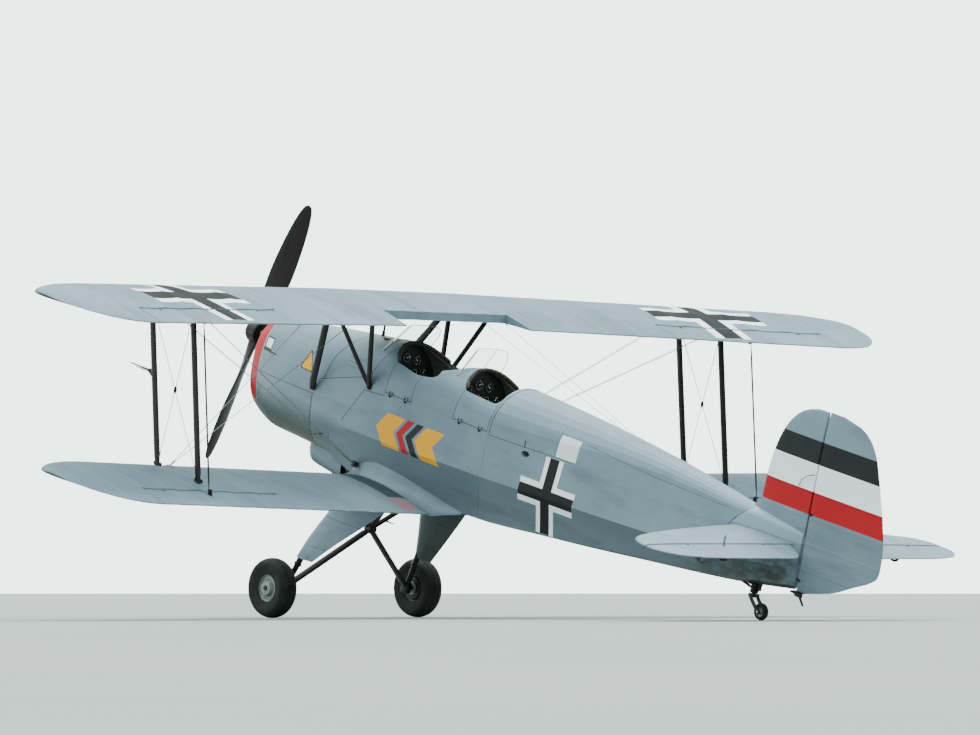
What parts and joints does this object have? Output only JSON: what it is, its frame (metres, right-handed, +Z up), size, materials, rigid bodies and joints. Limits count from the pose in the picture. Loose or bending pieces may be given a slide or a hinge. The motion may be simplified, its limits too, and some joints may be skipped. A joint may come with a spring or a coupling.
{
  "type": "training biplane",
  "caption": "Open-cockpit training biplane with an inverted inline engine, fabric-covered swept wings and tail-wheel landing gear, parked tail down.",
  "frame": {"origin": "on the floor under the centre of the bounding box", "axes": "+X towards the nose, +Y across the span to the left wing tip, +Z up; the aircraft stands on its wheels and tail wheel"},
  "size_m": [6.5434, 7.3922, 2.959],
  "materials": {
    "doped_fabric": "silver-grey dope, satin",
    "cowl_metal": "silver-grey paint, semi-gloss",
    "red_paint": "semi-gloss",
    "black_paint": "satin black",
    "engine_metal": "plain",
    "wire_steel": "drawn",
    "seat_metal": "painted grey-green",
    "floor_wood": "varnished plywood",
    "propeller_wood": "dark lacquer",
    "rim_leather": "black, padded",
    "clear_sheet": "clear",
    "tyre_rubber": "matte"
  },
  "bodies": {
    "airframe": {"nose_ring": "red_paint", "engine_cowl": "cowl_metal", "air_outlet": "cowl_metal", "engine_block": "engine_metal", "cockpit_shell": "doped_fabric", "cockpit_floor": "floor_wood", "front_panel": "black_paint", "rear_panel": "black_paint", "front_seat": "seat_metal", "rear_seat": "seat_metal", "front_stick": "black_paint", "rear_stick": "black_paint", "front_rim": "rim_leather", "rear_rim": "rim_leather", "front_windscreen": "clear_sheet", "rear_windscreen": "clear_sheet", "upper_wing_left": "doped_fabric", "upper_wing_right": "doped_fabric", "lower_wing_left": "doped_fabric", "lower_wing_right": "doped_fabric", "upper_wing_centre": "doped_fabric", "lower_wing_centre": "doped_fabric", "cabane_left": "black_paint", "cabane_right": "black_paint", "interplane_struts_left": "black_paint", "interplane_struts_right": "black_paint", "flying_wires_left": "wire_steel", "flying_wires_right": "wire_steel", "landing_wires_left": "wire_steel", "landing_wires_right": "wire_steel", "tail_struts_left": "black_paint", "tail_struts_right": "black_paint", "tailplane": "doped_fabric", "rear_fuselage": "doped_fabric", "fin": "doped_fabric", "gear_frame": "black_paint", "gear_leg_left": "cowl_metal", "gear_leg_right": "cowl_metal", "tail_leg": "black_paint"},
    "propeller": {"propeller": "propeller_wood", "prop_hub_plate": "engine_metal"},
    "left_wheel": {"tyre_left": "tyre_rubber", "hub_left": "cowl_metal"},
    "right_wheel": {"tyre_right": "tyre_rubber", "hub_right": "cowl_metal"},
    "tail_fork": {"tail_fork": "black_paint"},
    "tail_wheel": {"tail_wheel": "tyre_rubber"},
    "rudder": {"rudder": "doped_fabric"},
    "elevator": {"elevator_left": "doped_fabric", "elevator_right": "doped_fabric"},
    "lower_aileron_left": {"lower_aileron_left": "doped_fabric"},
    "lower_aileron_right": {"lower_aileron_right": "doped_fabric"},
    "upper_aileron_left": {"upper_aileron_left": "doped_fabric"},
    "upper_aileron_right": {"upper_aileron_right": "doped_fabric"},
    "aileron_link_left": {"aileron_link_left": "black_paint"},
    "aileron_link_right": {"aileron_link_right": "black_paint"},
    "front_door": {"front_door": "cowl_metal"},
    "rear_door": {"rear_door": "cowl_metal"}
  },
  "joints": [
    {"name": "propeller_spin", "type": "hinge", "parent": "airframe", "child": "propeller", "pos_m": [3.01509, 0, 2.04806], "axis": [0.9639, 0, 0.2664], "continuous": true},
    {"name": "left_wheel_spin", "type": "hinge", "parent": "airframe", "child": "left_wheel", "pos_m": [2.0364, 0.672, 0.20992], "axis": [0, 1, 0], "continuous": true},
    {"name": "right_wheel_spin", "type": "hinge", "parent": "airframe", "child": "right_wheel", "pos_m": [2.0364, -0.672, 0.20992], "axis": [0, 1, 0], "continuous": true},
    {"name": "tail_fork_steer", "type": "hinge", "parent": "airframe", "child": "tail_fork", "pos_m": [-2.09234, 0, 0.2007], "axis": [-0.2664, 0, 0.9639], "range_deg": [-30, 30]},
    {"name": "tail_wheel_spin", "type": "hinge", "parent": "tail_fork", "child": "tail_wheel", "pos_m": [-2.1543, 0, 0.057], "axis": [0, 1, 0], "continuous": true},
    {"name": "rudder_turn", "type": "hinge", "parent": "airframe", "child": "rudder", "pos_m": [-2.58688, 0, 0.49976], "axis": [-0.2664, 0, 0.9639], "range_deg": [-28, 28]},
    {"name": "elevator_tilt", "type": "hinge", "parent": "airframe", "child": "elevator", "pos_m": [-2.50549, 0, 0.47557], "axis": [0, 1, 0], "range_deg": [-24, 28]},
    {"name": "lower_aileron_left_tilt", "type": "hinge", "parent": "airframe", "child": "lower_aileron_left", "pos_m": [0.67732, 1.76, 0.80761], "axis": [-0.2068, 0.9783, 0.0144], "range_deg": [-22, 22]},
    {"name": "lower_aileron_right_tilt", "type": "hinge", "parent": "airframe", "child": "lower_aileron_right", "pos_m": [0.67732, -1.76, 0.80761], "axis": [0.2068, 0.9783, -0.0144], "range_deg": [-22, 22]},
    {"name": "upper_aileron_left_tilt", "type": "hinge", "parent": "airframe", "child": "upper_aileron_left", "pos_m": [0.70037, 1.76, 2.04164], "axis": [-0.1958, 0.9803, -0.0268], "range_deg": [-22, 22]},
    {"name": "upper_aileron_right_tilt", "type": "hinge", "parent": "airframe", "child": "upper_aileron_right", "pos_m": [0.70037, -1.76, 2.04164], "axis": [0.1958, 0.9803, 0.0268], "range_deg": [-22, 22]},
    {"name": "aileron_link_left_swing", "type": "hinge", "parent": "lower_aileron_left", "child": "aileron_link_left", "pos_m": [0.46561, 2.514, 0.84963], "axis": [-0.2068, 0.9783, 0.0144], "range_deg": [-24, 24]},
    {"name": "aileron_link_right_swing", "type": "hinge", "parent": "lower_aileron_right", "child": "aileron_link_right", "pos_m": [0.46561, -2.514, 0.84963], "axis": [0.2068, 0.9783, -0.0144], "range_deg": [-24, 24]},
    {"name": "front_door_fold", "type": "hinge", "parent": "airframe", "child": "front_door", "pos_m": [1.10504, 0.32525, 1.52638], "axis": [-0.9639, 0.0048, -0.2664], "range_deg": [0, 120]},
    {"name": "rear_door_fold", "type": "hinge", "parent": "airframe", "child": "rear_door", "pos_m": [0.36528, 0.31984, 1.32192], "axis": [-0.9638, -0.0091, -0.2664], "range_deg": [0, 120]}
  ],
  "couplings": [
    {"joint": "upper_aileron_left_tilt", "follows": "lower_aileron_left_tilt", "ratio": 1},
    {"joint": "lower_aileron_right_tilt", "follows": "lower_aileron_left_tilt", "ratio": -1},
    {"joint": "upper_aileron_right_tilt", "follows": "lower_aileron_left_tilt", "ratio": -1},
    {"joint": "aileron_link_left_swing", "follows": "lower_aileron_left_tilt", "ratio": -1.075},
    {"joint": "aileron_link_right_swing", "follows": "lower_aileron_left_tilt", "ratio": 1.075}
  ]
}
